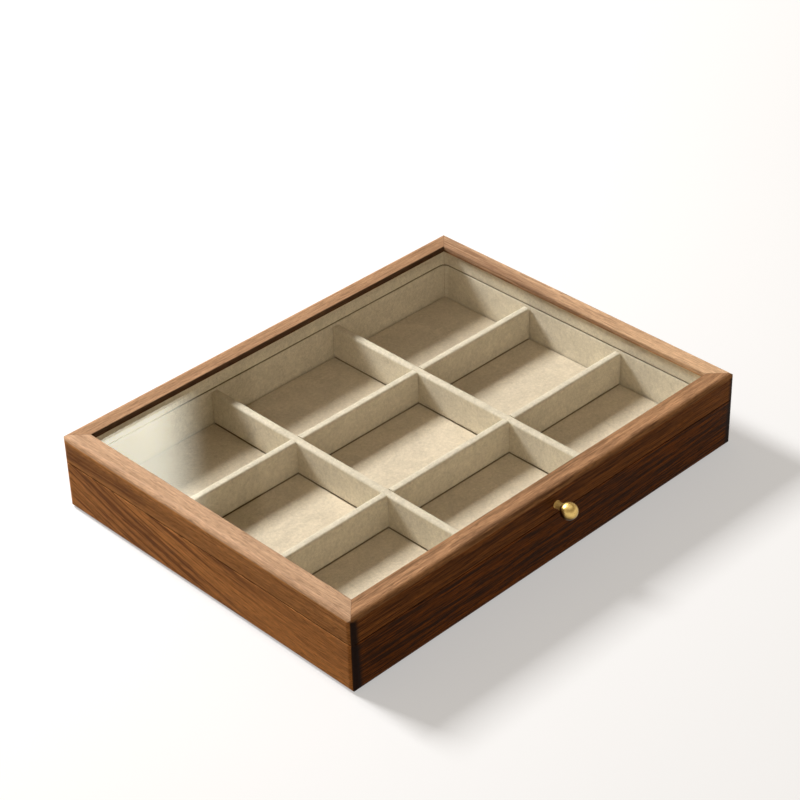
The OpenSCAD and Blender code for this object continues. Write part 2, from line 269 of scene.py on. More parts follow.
# %% [markdown]
# ## The figure of walnut
#
# Wood is a solid pattern and not a flat one. A tree adds a cylinder of growth each year, and a board is a
# slice through those cylinders. So we measure how far each point lies from the heart of the tree and let
# a one-dimensional noise turn that distance into bands, some wide and some narrow, as wet and dry years
# made them. A slope of the heart turns straight lines into slanting ones, and a sweep bends them. Long
# noise adds dark streaks, and cells stretched along the grain give the short dark pores that mark walnut.
# Bands and lines grow bolder from a board's calm end to its bold end, and both ends lie far away unless
# the board names them. The group works in millimetres, with X along the grain.

# %% Group: timber, from its inputs to the years
WANDER_IN_MM = 6.0
RIPPLE_IN_MM = 1.8
timber, given = new_group("timber", {
    "Vector": "Vector", "Light": paint(190, 134, 90), "Dark": paint(120, 76, 46), "Heart": (0, 0, 0),
    "Slope": 0.0, "Sweep": 0.0, "Band Width": 4.0, "Band Depth": 0.5, "Line Depth": 0.5,
    "Streak Depth": 0.4, "Fineness": 1.0, "Shift": (0, 0, 0), "Calm End": -2000.0, "Bold End": -1000.0,
}, SURFACE)

grain, across, up = given["Vector"].scaled(1 / MM).vector("SUBTRACT", given["Heart"]).split()
leaning = up - grain * (given["Slope"] + grain * given["Sweep"])
fibres = timber.point(grain, across, leaning).vector("ADD", given["Shift"]).scaled(given["Fineness"])
wander = fibres.noise(0.008, 0.03) - 0.5
ripple = fibres.noise(0.03, 0.3, 3.0) - 0.5
distance = timber.point(0.0, across, leaning).vector("LENGTH")
years = (distance + (wander * WANDER_IN_MM + ripple * RIPPLE_IN_MM)) / given["Band Width"]
print("the years take", len(timber.data.nodes), "nodes")

# %% Group: timber, how dark each point is
CALM_SHARE = 0.28
COARSE_SHARE = 0.45
FINE_SHARE = 0.65
CLOUD_SHARE = 0.14


def yearly(scale, detail, roughness=0.5):
    """Noise that depends on the years alone."""
    return timber.put("ShaderNodeTexNoise", out="Fac", noise_dimensions="1D", W=years, Scale=scale,
                      Detail=detail, Roughness=roughness)


bold = grain.spread(given["Calm End"], given["Bold End"], CALM_SHARE, 1.0)
band = yearly(1.0, 3.0, 0.6).spread(0.36, 0.64) * (given["Band Depth"] * bold)
winter_line = abs(yearly(1.9, 1.0) - 0.5).spread(0.1, 0.02)
broken = fibres.noise(0.035, 0.45, 3.0, 0.6).spread(0.36, 0.6, 0.25, 1.0)
lines = winter_line * broken * (given["Line Depth"] * bold)
coarse = fibres.noise(0.008, 0.4, 5.0, 0.65).spread(0.38, 0.62)
fine = fibres.noise(0.03, 0.95, 3.0, 0.65).spread(0.4, 0.6)
streaks = coarse * COARSE_SHARE + fine * FINE_SHARE
cloud = fibres.noise(0.006, 0.035).spread(0.3, 0.7) * CLOUD_SHARE
darkness = band + (cloud + lines) + streaks * given["Streak Depth"]
print("with bands, lines, streaks and clouds", len(timber.data.nodes), "nodes")

# %% Group: timber, hair-fine fibres and pores
PORES_PER_MM = (0.085, 0.85, 0.85)
PORE_TINT = (0.55, 0.48, 0.42, 1.0)
PORE_STRENGTH = 0.72
PORE_ROUGHNESS = 0.2
HAIR_HEIGHT = 0.4

hair = fibres.noise(0.12, 1.7, 4.0, 0.7)
haired = darkness.mix(given["Light"], given["Dark"]).tinted(hair.spread(0.3, 0.7, 0.64, 1.3))
pore_cells = timber.put("ShaderNodeTexVoronoi", out="Distance", feature="F1", Scale=1.0,
                        Vector=fibres.vector("MULTIPLY", PORES_PER_MM))
pore_crowds = fibres.noise(0.02, 0.2).spread(0.4, 0.58, 0.25, 1.0)
pore = pore_cells.spread(0.3, 0.14) * pore_crowds
timber.give({"Color": (pore * PORE_STRENGTH).mix(haired, given["Dark"].tinted(PORE_TINT)),
             "Roughness": hair.spread(0.2, 0.8, 0.52, 0.66) + pore * PORE_ROUGHNESS,
             "Height": hair * HAIR_HEIGHT - pore})

# %% [markdown]
# ## Edges, joints and the seam
#
# Hands rub the finish off along the edges of a box, and glue and oil darken the mitred corners. A painted
# highlight goes over the wear on the edges, and where the lid meets the box a narrow painted highlight
# marks the seam. Painted shade darkens an upright corner, the seam's gap and the lip's inner face, and
# the upper face is marked for a painted sheen. All of them follow from the shape of the case, so this
# group works from the distances to its outer planes. Where two of them are small at once, the point is
# near an edge. Where the distance to a side equals that to the front or back, it is on a mitre. The dark
# band of painted shade at an upright corner lies on the front's half of it and widens a little towards
# the foot.

# %% Group: arris
arris, given = new_group("arris", {
    "Vector": "Vector", "Half Width": HALF_W / MM, "Half Depth": HALF_D / MM, "Top": CASE_TOP / MM,
    "Seam": SEAM_Z / MM, "Rounding": 3.5, "Rail Width": 12.0,
}, dict.fromkeys(("Edge", "Top Face", "Corner", "Mitre", "Seam Line", "Seam Gap", "Lip Face"), "Float"))

place = given["Vector"].scaled(1 / MM)
x, y, z = place.split()
to_side = given["Half Width"] - abs(x)
to_front = given["Half Depth"] - abs(y)
to_top = given["Top"] - z
to_outside = to_side.calc("MINIMUM", to_front)
off_seam = abs(z - given["Seam"])
patchy = place.noise(0.09, 0.09, 4.0, 0.65).spread(0.38, 0.62, 0.35, 1.0)
level_edges = (to_outside + to_top.calc("MINIMUM", z)) / given["Rounding"]
upright_edges = (to_side + to_front) / given["Rounding"]
# Painted shade: a dark band on the front half of each upright corner.
wider_below = z.spread(given["Top"], 0.0, 0.0, 0.5)
front_half = (to_side - to_front).spread(-1.3, -0.3)
darkened = (upright_edges - wider_below).spread(1.75, 0.75) * front_half
outer_skin = to_outside.spread(1.2, 0.7)
# Edge marks wear and a painted highlight, Seam Line a painted highlight, Corner, Seam Gap and Lip Face
# painted shade, and Top Face the face that gets a painted sheen.
arris.give({"Edge": level_edges.spread(1.05, 0.6) * patchy,
            "Top Face": to_top.spread(2.95, 2.4),
            "Corner": darkened * to_top.spread(1.2, 3.2),
            "Mitre": abs(to_side - to_front).spread(0.42, 0.12),
            "Seam Line": off_seam.spread(1.1, 0.6) * outer_skin * patchy,
            "Seam Gap": off_seam.spread(0.5, 0.25) * outer_skin,
            "Lip Face": (to_outside - given["Rail Width"]).spread(-0.6, -0.1)})

# %% [markdown]
# ## Suede
#
# Suede has a nap, a lawn of very short fibres. Stroked, they lie one way, which makes soft lighter and
# darker patches, and close by it is speckled. So the group has wide smooth patches with a touch of
# distortion for the strokes, and fine noise for the fibres. The sheen of the nap is the same all over, so
# it is a plain number on the shader itself.

# %% Group: nap
nap, given = new_group("nap", {
    "Vector": "Vector", "Base": paint(205, 196, 168), "Stroke": 0.1, "Speckle": 0.16}, SURFACE)

place = given["Vector"].scaled(1 / MM)
patches = place.noise(0.055, 0.055, 3.0, 0.55, distortion=1.4)
strokes = place.noise(0.03, 0.22, 3.0, 0.6, distortion=0.6)
pile = place.noise(1.7, 1.7, 3.0, 0.7)
grit = place.noise(0.55, 0.55, 2.0, 0.6)
lie = patches.spread(0.32, 0.68) - 0.5 + (strokes - 0.5) * 0.9
mottle = pile - 0.5 + (grit - 0.5)
level = lie * given["Stroke"] + mottle * given["Speckle"] + 1.0
nap.give({"Color": given["Base"].tinted(level),
          "Roughness": pile.spread(0.3, 0.7, 0.86, 1.0),
          "Height": pile + patches * 0.8})

# %% [markdown]
# ## Metal that has been touched
#
# Turned and drawn brass is bright but never even. It has hair-fine marks from polishing and a faint
# brown bloom where fingers don't reach, so the group dulls it in soft patches and adds the marks.

# %% Group: handled_metal
handled_metal, given = new_group("handled_metal", {
    "Vector": "Vector", "Bright": paint(222, 190, 112), "Bloom": paint(150, 116, 58), "Polish": 0.2}, SURFACE)

place = given["Vector"].scaled(1 / MM)
bloom = place.noise(0.35, 0.35, 4.0, 0.6).spread(0.42, 0.75)
marks = place.noise(0.8, 14.0, 2.0, 0.6)
handled_metal.give({"Color": (bloom * 0.45).mix(given["Bright"], given["Bloom"]),
                    "Roughness": given["Polish"] + (bloom * 0.14 + marks * 0.08),
                    "Height": marks})

# %% [markdown]
# ## Materials
#
# Each material is a Principled shader with one group in front of it. `new_material` makes that pair and
# returns the parts that a finish may still want to connect. Bump needs a distance in metres, about a
# tenth of a millimetre or less on wood and cloth. `shade` browns or darkens a material under a mask.

# %% Helpers for materials
WOOD_BUMP = 0.06 * MM
PLY_BUMP = 0.05 * MM
CLOTH_BUMP = 0.12 * MM
METAL_BUMP = 0.008 * MM
BUMP_STRENGTH = 0.6


def blank_material(name, shown=(0.8, 0.8, 0.8, 1.0)):
    """A material, its tree and the Principled shader that it starts with."""
    material = bpy.data.materials.new(name)
    material.use_nodes = True
    material.diffuse_color = shown
    return material, Tree(material.node_tree), material.node_tree.nodes["Principled BSDF"]


def new_material(name, shown, group, values, bump, plain, turn=0.0):
    """A Principled material fed by a group. plain holds the uniform numbers of the shader itself."""
    material, tree, shader = blank_material(name, shown)
    spot = tree.put("ShaderNodeTexCoord", out="Object")
    turned = tree.put("ShaderNodeMapping", Vector=spot, Rotation=(0.0, 0.0, turn))
    figure = tree.outputs("ShaderNodeGroup", {"Vector": turned, **values}, node_tree=group.data)
    relief = tree.put("ShaderNodeBump", Strength=BUMP_STRENGTH, Distance=bump, Height=figure["Height"])
    varying = {"Base Color": figure["Color"], "Roughness": figure["Roughness"], "Normal": relief}
    tree.fill(shader, {**varying, **plain})
    return SimpleNamespace(material=material, tree=tree, figure=figure, shader=shader.inputs, spot=spot)


def shade(finish, mask, colour):
    """Paints a colour over the figure where the mask is 1."""
    finish.tree.feed(finish.shader["Base Color"], mask.mix(finish.figure["Color"], colour))


print("bumps of", [round(bump / MM, 3) for bump in (WOOD_BUMP, PLY_BUMP, CLOTH_BUMP, METAL_BUMP)], "mm")

# %% [markdown]
# ### Eight boards of walnut
#
# Each board is its own piece of wood. The lower left one has slanting bands that flatten out towards the
# front, the lid is cut from quieter, straight-grained stock, and the front is darker, with straight
# streaks close together, a darkness that is partly the wood and partly painted shade. The arris group
# goes on top: it calms and pales the upper face with a painted sheen, lightens the edges with wear and a
# painted highlight, paints a highlight along the seam, darkens the mitres as glue and oil do, and paints
# shade on the upright corners, the seam's gap and the lip's inner face.

# %% Helper for walnut
# The upper face is washed towards a plainer, paler colour and then tinted: a painted sheen.
PAINTED_SHEEN_SHARE = 0.25
PAINTED_SHEEN_LEVEL = 0.82
# Edges are lightened by wear and a painted highlight, the seam by a painted highlight alone.
RUB_AND_HIGHLIGHT_TINT = (1.35, 1.32, 1.28, 1.0)
# Mitres take a real stain; corners, the seam's gap and the lip take painted shade.
STAIN_AND_SHADE_COLOUR = paint(26, 11, 5)
RUB_AND_HIGHLIGHT_SHARES = {"Edge": 0.5, "Seam Line": 0.8}
STAIN_AND_SHADE_SHARES = {"Mitre": 0.28, "Corner": 0.97, "Seam Gap": 0.75}
OILED = {"Specular IOR Level": 0.08}


# fade is the tint of a painted sheen on the upper face, and the lip's number is the strength of painted shade
# on its inner face.
def walnut(name, turn, light, dark, figure_values, fade=(1.26, 1.6, 2.35), lip_shade=0.6):
    """Walnut of one board. turn brings the grain from X to the board's own direction."""
    values = {"Light": paint(*light), "Dark": paint(*dark), **figure_values}
    made = new_material(name, paint(*light), timber, values, WOOD_BUMP, OILED, turn)
    colour = made.figure["Color"]
    wear_and_light_masks = made.tree.outputs("ShaderNodeGroup", node_tree=arris.data, Vector=made.spot)

    def strongest(strengths):
        return most(*(wear_and_light_masks[where] * strength for where, strength in strengths.items()))

    # Painted sheen: the upper face is calmed, paled and tinted.
    calm = made.tree.blend(PAINTED_SHEEN_SHARE, colour, paint(*(PAINTED_SHEEN_LEVEL * part for part in light)))
    top_with_sheen = wear_and_light_masks["Top Face"].mix(colour, calm.tinted((*fade, 1.0)))
    # Wear and a painted highlight on the edges, a painted highlight on the seam.
    rubbed_and_highlighted = strongest(RUB_AND_HIGHLIGHT_SHARES).mix(top_with_sheen, top_with_sheen.tinted(RUB_AND_HIGHLIGHT_TINT))
    # Stain in the mitres, and painted shade on the corners, the seam's gap and the lip's inner face.
    darkened = strongest({**STAIN_AND_SHADE_SHARES, "Lip Face": lip_shade})
    made.tree.feed(made.shader["Base Color"], darkened.mix(rubbed_and_highlighted, STAIN_AND_SHADE_COLOUR))
    return made.material


# The edges are lighter by wear and by a painted highlight.
print("a rubbed edge is", RUB_AND_HIGHLIGHT_TINT[0], "times as light")

# %% [markdown]
# The table below is the timber yard. A row holds the direction of the grain, the light and the dark colour
# of a board, and then its figure in the order of `FIGURE`, in millimetres. The colours are partly each
# board's own tone and partly painted light: the front boards are painted darker, as shade, and the left
# board paler, as lit. The heart of the tree lies behind each face: its first number is along the grain,
# the others are across and up. `TOPS` gives the tint of the painted sheen on the lid's upper faces, and
# how much painted shade darkens the lip inside.

# %% Walnut materials
QUARTER_TURN = math.radians(90)
ALONG_X = 0.0
ALONG_Y = -QUARTER_TURN
FIGURE = ("Heart", "Slope", "Sweep", "Band Width", "Band Depth", "Line Depth", "Streak Depth", "Fineness",
          "Shift", "Calm End", "Bold End")
# Each board's tone, with painted light: darker front boards as shade, a paler left board as lit.
YARD = {
    "left_board": (ALONG_Y, (224, 158, 97), (131, 83, 44),
                   (0, 60, -58), 0.16, 0.0007, 5.2, 0.32, 0.95, 0.28, 1.35, (40, 0, 0), -85.0, 60.0),
    "lid_left_rail": (ALONG_Y, (208, 150, 95), (128, 81, 42),
                      (0, 20, -300), 0.01, 0.0, 7.0, 0.6, 0.4, 0.4, 1.6, (90, 40, 0), -20.0, 125.0),
    "right_board": (ALONG_Y, (206, 143, 86), (118, 73, 38),
                    (0, -70, -80), -0.05, 0.0, 6.0, 0.35, 0.7, 0.35, 1.1, (700, 0, 30)),
    "lid_right_rail": (ALONG_Y, (216, 164, 110), (106, 66, 37),
                       (0, -40, -300), 0.008, 0.0, 6.0, 0.75, 0.4, 0.38, 1.7, (800, 60, 0), -120.0, 35.0),
    "front_board": (ALONG_X, (178, 108, 52), (60, 33, 14),
                    (0, -75, -130), 0.012, 0.00008, 5.0, 0.3, 0.35, 0.72, 1.8, (310, 20, 0)),
    "lid_front_rail": (ALONG_X, (194, 130, 74), (86, 49, 22),
                       (30, 0, -330), 0.004, 0.0, 5.0, 0.5, 0.3, 0.52, 1.8, (420, 80, 0), 170.0, 30.0),
    "back_board": (ALONG_X, (186, 122, 68), (94, 55, 26),
                   (60, 60, -90), 0.03, 0.0, 6.0, 0.35, 0.6, 0.5, 1.1, (1100, 60, 0)),
    "lid_back_rail": (ALONG_X, (196, 138, 88), (112, 68, 36),
                      (-40, 20, -310), 0.006, 0.0, 7.0, 0.25, 0.3, 0.45, 1.5, (1300, 20, 0)),
}
TOPS = {
    "lid_front_rail": {"fade": (1.06, 1.4, 2.35)},
    "lid_left_rail": {"fade": (0.99, 1.31, 2.2)},
    "lid_right_rail": {"fade": (1.2, 1.45, 2.1), "lip_shade": 0.1},
    "lid_back_rail": {"fade": (0.9, 1.14, 1.65), "lip_shade": 0.8},
}
WALNUT = {}
for board, (turn, light, dark, *figure_row) in YARD.items():
    figure_values = dict(zip(FIGURE, figure_row))
    WALNUT[board] = walnut("walnut_" + board, turn, light, dark, figure_values, **TOPS.get(board, {}))
print("walnut for", ", ".join(WALNUT))

# %% [markdown]
# ### Plywood, suede, brass and steel
#
# The bottom panel is thin plywood with a pale face, so it reuses the timber group with wide, quiet rings.
# Linings and dividers share one suede, and the floor has a slightly pinker piece of it. The cloth is
# painted darker where shade gathers: at the gap between the linings of box and lid, and in the floor's
# groove.

# %% Plywood and suede
CLOTH = {"Sheen Weight": 0.15, "Sheen Roughness": 0.5, "Sheen Tint": paint(252, 244, 228),
         "Specular IOR Level": 0.12}
PLYWOOD = new_material(
    "birch_plywood", paint(206, 176, 136), timber,
    {"Light": paint(214, 186, 146), "Dark": paint(176, 142, 102), "Heart": (0, 0, -400), "Slope": 0.004,
     "Band Width": 1.2, "Band Depth": 0.3, "Line Depth": 0.1, "Streak Depth": 0.4, "Shift": (0, 500, 0)},
    PLY_BUMP, {"Specular IOR Level": 0.3}).material


def suede(name, shown, base, stroke, speckle):
    """Suede cloth and the height of each of its points."""
    values = {"Base": paint(*base), "Stroke": stroke, "Speckle": speckle}
    finish = new_material(name, paint(*shown), nap, values, CLOTH_BUMP, CLOTH)
    _, _, height = finish.spot.split()
    return finish, height


finish, height = suede("lining_suede_cloth", (218, 210, 193), (219, 211, 193), 0.1, 0.55)
# Painted shade along the gap between the linings of box and lid.
shade(finish, abs(height - GAP_Z).spread(0.6 * MM, 0.3 * MM, 0.0, 0.75), paint(84, 70, 50))
LINING_SUEDE = finish.material
finish, height = suede("floor_suede_cloth", (212, 200, 180), (213, 201, 181), 0.13, 0.5)
# Painted shade in the floor's groove.
groove_shade = height.spread(FLOOR_HIGH.z - 0.1 * MM, FLOOR_HIGH.z - 0.4 * MM, 0.0, 0.8)
shade(finish, groove_shade, paint(92, 72, 50))
FLOOR_SUEDE = finish.material
print("plywood and two pieces of suede, gap at", round(GAP_Z / MM, 2), "mm")

# %% Brass and steel
SATIN = 0.3


def metal(name, shown, bright, bloom):
    """Bright metal with a darker bloom in patches."""
    values = {"Bright": paint(*bright), "Bloom": paint(*bloom), "Polish": SATIN}
    return new_material(name, paint(*shown), handled_metal, values, METAL_BUMP, {"Metallic": 1.0})


BRASS = metal("handled_brass", (228, 190, 112), (230, 194, 116), (140, 100, 44)).material
STEEL = metal("screw_steel", (180, 182, 186), (190, 192, 196), (120, 116, 112)).material
print(len(bpy.data.materials), "materials so far")

# %% [markdown]
# ### Glass
#
# A renderer bends light through glass, which is right for the eye and wrong for a lamp: behind bent glass
# the inside of the box would be black or full of sparks. The usual answer is to let the rays that look
# for a lamp, or that carry soft light, pass a plain transparent shader. A very faint film of dust keeps
# the pane from being mathematically perfect.

# %% Glass material
def pane_glass():
    """Clear glass with a trace of dust. Lamps and soft light go straight through it."""
    material, tree, glass = blank_material("pane_glass", (0.8, 0.88, 0.87, 0.35))
    spot = tree.put("ShaderNodeTexCoord", out="Object")
    film = tree.put("ShaderNodeTexNoise", out="Fac", Vector=spot, Scale=22.0, Detail=5.0)
    clean, dusty = (0.99, 0.99, 0.985, 1), (0.965, 0.97, 0.96, 1)
    tree.fill(glass, {"Transmission Weight": 1.0, "IOR": 1.5, "Metallic": 0.0,
                      "Roughness": film.spread(0.45, 0.75, 0.0, 0.03),
                      "Base Color": film.spread(0.3, 0.8).mix(clean, dusty)})
    clear = tree.put("ShaderNodeBsdfTransparent", Color=(0.97, 0.97, 0.965, 1))
    lamp_or_soft = tree.rays("Shadow", "Diffuse")
    tree.show(tree.put("ShaderNodeMixShader", {0: lamp_or_soft, 1: Value(tree, glass.outputs[0]), 2: clear}))
    return material


GLASS = pane_glass()
print(GLASS.name, "lets lamps through")

# %% [markdown]
# ## Finishes on the frame's own pieces
#
# A piece whose shape is already right keeps its mesh and only changes its material.

# %% Dress the boards, the panel and the pane
for node, material in {**WALNUT, "bottom_panel": PLYWOOD, "glass_pane": GLASS}.items():
    for slot in NODES[node].material_slots:
        slot.link = "OBJECT"
        slot.material = material
print("finished", len(WALNUT) + 2, "nodes in place")

# %% [markdown]
# ## A skin over rows of points
#
# Many made things are a row of points that is repeated with small changes: a lining is its cross-section
# carried along the wall, and a turned knob is a ring that grows and shrinks along its axis. `skin` joins
# such rows into a closed mesh. `adopt` gives the result its material, ties it to a body and names the
# frame's pieces that it stands for.

# %% Helpers: skin and adopt
WELD = 0.002 * MM


def skin(name, rows):
    """A closed mesh over rows of points. Each row is one loop round the piece, and the ends are capped."""
    count = len(rows[0])
    faces = []
    for step in range(len(rows) - 1):
        near, far = step * count, (step + 1) * count
        for spot in range(count):
            after = (spot + 1) % count
            faces.append((near + spot, near + after, far + after, far + spot))
    faces.append(tuple(range(count))[::-1])
    faces.append(tuple(range((len(rows) - 1) * count, len(rows) * count)))
    mesh = bpy.data.meshes.new(name)
    mesh.from_pydata([point for row in rows for point in row], [], faces)
    work = bmesh.new()
    work.from_mesh(mesh)
    bmesh.ops.remove_doubles(work, verts=work.verts, dist=WELD)
    bmesh.ops.recalc_face_normals(work, faces=work.faces)
    work.to_mesh(mesh)
    work.free()
    return mesh


def new_object(name, data):
    made = bpy.data.objects.new(name, data)
    bpy.context.scene.collection.objects.link(made)
    return made


def adopt(name, mesh, material, body, nodes, crease=50):
    """Makes a mesh into a finished piece that rides on a body and replaces some of the frame's nodes."""
    mesh.materials.clear()
    mesh.materials.append(material)
    mesh.shade_smooth()
    mesh.set_sharp_from_angle(angle=math.radians(crease))
    piece = new_object(name, mesh)
    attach(piece, body)
    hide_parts(*nodes)
    return piece


print("skin, new_object and adopt are ready")

# %% [markdown]
# ## Wall linings
#
# Each wall of the box and of the lid is lined with thin board wrapped in suede. The cloth turns softly
# over the edge at the seam, and where two linings meet it runs round the corner in a small curve. We walk
# along the wall, set a cross-section at each step and bend the last steps into the corner. A little noise
# moves the face by a few hundredths of a millimetre, because cloth over glue is never flat like plastic.

# %% Helper: stations along one lining
LINING_T = 2.0 * MM
CORNER_R = 4.0 * MM
LINING_EDGE_R = 0.8 * MM
CLOTH_RIPPLE = 0.06 * MM
CORNER_STOP = math.radians(44.2)
MITRE = math.radians(45)


def lining_stations(half_length, steps=70, corner_steps=7):
    """Pairs of points (face, back) along the front wall, in (along, inwards) coordinates."""
    straight = half_length - LINING_T - CORNER_R
    pairs = []
    for step in range(corner_steps + 1):
        angle = CORNER_STOP * (1 - step / corner_steps)
        face = (straight + CORNER_R * math.sin(angle), LINING_T + CORNER_R * (1 - math.cos(angle)))
        back = (straight + (half_length - straight) * angle / MITRE, 0.0)
        pairs.append((face, back))
    mirrored = [((-face[0], face[1]), (-back[0], back[1])) for face, back in reversed(pairs)]
    for step in range(1, steps):
        along = straight * (1 - 2 * step / steps)
        pairs.append(((along, LINING_T), (along, 0.0)))
    return pairs + mirrored


print(len(lining_stations(LINING_REACH_X)), "stations along the front lining")

# %% Helper: the mesh of one lining
RIPPLE_ALONG = 22 * MM
RIPPLE_UP = 12 * MM
EDGE_STEPS = 4
FACE_STEPS = 9
BOARD_SHARE = 0.6
SEED_PER_METRE = 100


def lining_mesh(name, half_length, reach, turn, soft_z, far_z):
    """soft_z is the height of the rounded edge at the seam, far_z that of the opposite edge."""
    towards = 1 if far_z > soft_z else -1
    rounding = [QUARTER_TURN * k / EDGE_STEPS for k in range(EDGE_STEPS + 1)]
    flat = abs(far_z - soft_z) - LINING_EDGE_R
    levels = [LINING_EDGE_R + flat * k / FACE_STEPS for k in range(1, FACE_STEPS + 1)]
    spin = Matrix.Rotation(turn, 3, "Z")
    rows = []
    for face, back in lining_stations(half_length):
        inner, outer = Vector(face), Vector(back)
        into = (outer - inner).normalized()
        row = [(outer, far_z), (outer, soft_z), (inner.lerp(outer, BOARD_SHARE), soft_z)]
        for angle in rounding:
            row.append((inner + into * LINING_EDGE_R * (1 - math.sin(angle)),
                        soft_z + towards * LINING_EDGE_R * (1 - math.cos(angle))))
        for level in levels:
            place = Vector((inner.x / RIPPLE_ALONG, level / RIPPLE_UP, turn + soft_z * SEED_PER_METRE))
            row.append((inner - into * (noise.noise(place) * CLOTH_RIPPLE), soft_z + towards * level))
        rows.append([spin @ Vector((spot.x, spot.y - reach, height)) for spot, height in row])
    return skin(name, rows)


print("a cross-section has", 3 + EDGE_STEPS + 1 + FACE_STEPS, "points")

# %% Build the eight linings
for side, degrees in {"front": 0, "right": 90, "back": 180, "left": 270}.items():
    half_length, reach = LINING_REACH_X, LINING_REACH_Y
    if side in ("left", "right"):
        half_length, reach = reach, half_length
    for prefix, body in (("", "box"), ("lid_", "lid")):
        node = prefix + side + "_lining"
        low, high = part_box(node)
        soft_z, far_z = (low.z, high.z) if prefix else (high.z, low.z)
        mesh = lining_mesh(node + "_cloth", half_length, reach, math.radians(degrees), soft_z, far_z)
        adopt(node + "_cloth", mesh, LINING_SUEDE, body, [node])
print("eight linings,", len(mesh.polygons), "faces in the last one")

# %% [markdown]
# ## The floor pad
#
# One padded board lies on the bottom panel, and the dividers stand on it. Their weight and the walls
# press it down, so the cloth falls away in a narrow groove along every foot and swells very slightly in
# the middle of each compartment. That is a height for each point of a grid, so the pad is again a skin:
# each row is a slice from front to back with a flat underside. The grid is fine only next to a groove.

# %% Helpers: the grid of the floor pad
NEAR_STEPS = [step * MM for step in (0.0, 0.25, 0.5, 0.8, 1.1, 1.5, 2.2, 3.5)]
MIDDLE_STEPS = 12


def feet(half_inside, divider_at):
    """Edges of the three compartments along one axis."""
    half_t = DIVIDER_T / 2
    return [(-half_inside, -divider_at - half_t), (-divider_at + half_t, divider_at - half_t),
            (divider_at + half_t, half_inside)]


def grid_lines(cells):
    """Places along one axis, close together next to a foot."""
    lines = []
    for low, high in cells:
        lines += [low + step for step in NEAR_STEPS]
        inside = high - low - 2 * NEAR_STEPS[-1]
        lines += [low + NEAR_STEPS[-1] + inside * k / MIDDLE_STEPS for k in range(1, MIDDLE_STEPS)]
        lines += [high - step for step in reversed(NEAR_STEPS)]
    return lines


CELLS_X = feet(FLOOR_HIGH.x, CROSS_X)
CELLS_Y = feet(FLOOR_HIGH.y, LONG_Y)
print("a grid of", len(grid_lines(CELLS_X)), "by", len(grid_lines(CELLS_Y)), "lines")

# %% Helpers: the height of the floor pad
GROOVE_DEPTH = 0.8 * MM
GROOVE_WIDTH = 1.3 * MM
GROOVE_CURVE = 2.2
CROWN = 0.15 * MM
PAD_RIPPLE = 0.05 * MM
RIPPLE_SIZE = 16 * MM
RIPPLE_SEED = 3.7


def swell(value, cells):
    """(distance to the nearest foot, crown from 0 to 1) of a point along one axis."""
    for low, high in cells:
        if low <= value <= high:
            across = (value - low) / (high - low)
            return min(value - low, high - value), 4 * across * (1 - across)
    return 0.0, 0.0


def pad_height(x, y):
    """Height of the cloth, which falls next to a foot and swells in the middle of a compartment."""
    off_x, crown_x = swell(x, CELLS_X)
    off_y, crown_y = swell(y, CELLS_Y)
    near = min(off_x, off_y, GROOVE_WIDTH) / GROOVE_WIDTH
    fall = GROOVE_DEPTH * (1 - near) ** GROOVE_CURVE
    ripple = noise.noise(Vector((x / RIPPLE_SIZE, y / RIPPLE_SIZE, RIPPLE_SEED))) * PAD_RIPPLE * near
    return FLOOR_HIGH.z - fall + CROWN * math.sqrt(crown_x * crown_y) + ripple


print("a groove is", round((FLOOR_HIGH.z - pad_height(CELLS_X[0][0], 0.0)) / MM, 2), "mm deep")

# %% Build the floor pad
rows = []
for x in grid_lines(CELLS_X):
    corner = max(0.0, abs(x) - (FLOOR_HIGH.x - CORNER_R))
    limit = FLOOR_HIGH.y - CORNER_R + math.sqrt(max(0.0, CORNER_R ** 2 - corner ** 2))
    row = [Vector((x, max(-limit, min(limit, y)), pad_height(x, y))) for y in grid_lines(CELLS_Y)]
    rows.append(row + [Vector((x, limit, FLOOR_LOW.z)), Vector((x, -limit, FLOOR_LOW.z))])
floor_pad = adopt("floor_pad", skin("floor_pad", rows), FLOOR_SUEDE, "box", ["floor_board"])
print("floor pad:", len(rows), "slices of", len(rows[0]), "points")

# %% [markdown]
# ## Geometry Nodes that are run once
#
# Geometry Nodes describe a shape as a recipe with named inputs, which a modifier runs. We want plain
# meshes in the end, so `grow` builds a bare object on a few points, sets the modifier's inputs, evaluates
# it and keeps only the result. A modifier knows its inputs by identifiers and not by their names, so the
# helper looks those up.

# %% Helper: run a geometry tree
def grow(name, tree, values, points=((0, 0, 0),)):
    """The mesh that a geometry tree makes on these points with these values of its named inputs."""
    base = bpy.data.meshes.new(name + "_points")
    base.from_pydata([tuple(point) for point in points], [], [])
    carrier = new_object(name + "_carrier", base)
    modifier = carrier.modifiers.new("recipe", "NODES")
    modifier.node_group = tree.data
    for socket in tree.data.interface.items_tree:
        if socket.item_type == "SOCKET" and socket.in_out == "INPUT" and socket.name in values:
            modifier[socket.identifier] = values[socket.name]
    bpy.context.view_layer.update()
    evaluated = carrier.evaluated_get(bpy.context.evaluated_depsgraph_get())
    mesh = bpy.data.meshes.new_from_object(evaluated)
    mesh.name = name
    carrier.modifiers.clear()
    bpy.data.objects.remove(carrier)
    bpy.data.meshes.remove(base)
    return mesh


print("grow is ready")

# %% [markdown]
# ## Dividers
#
# Two long and two cross dividers make the nine compartments. They follow one rule: a wrapped board with
# two slots where it crosses the others, from above in the long ones and from below in the cross ones, so
# that they slide into each other. That rule is a recipe, so the tree below draws a rounded section,
# carries it along a line, lets noise stir the cloth and cuts the slots.

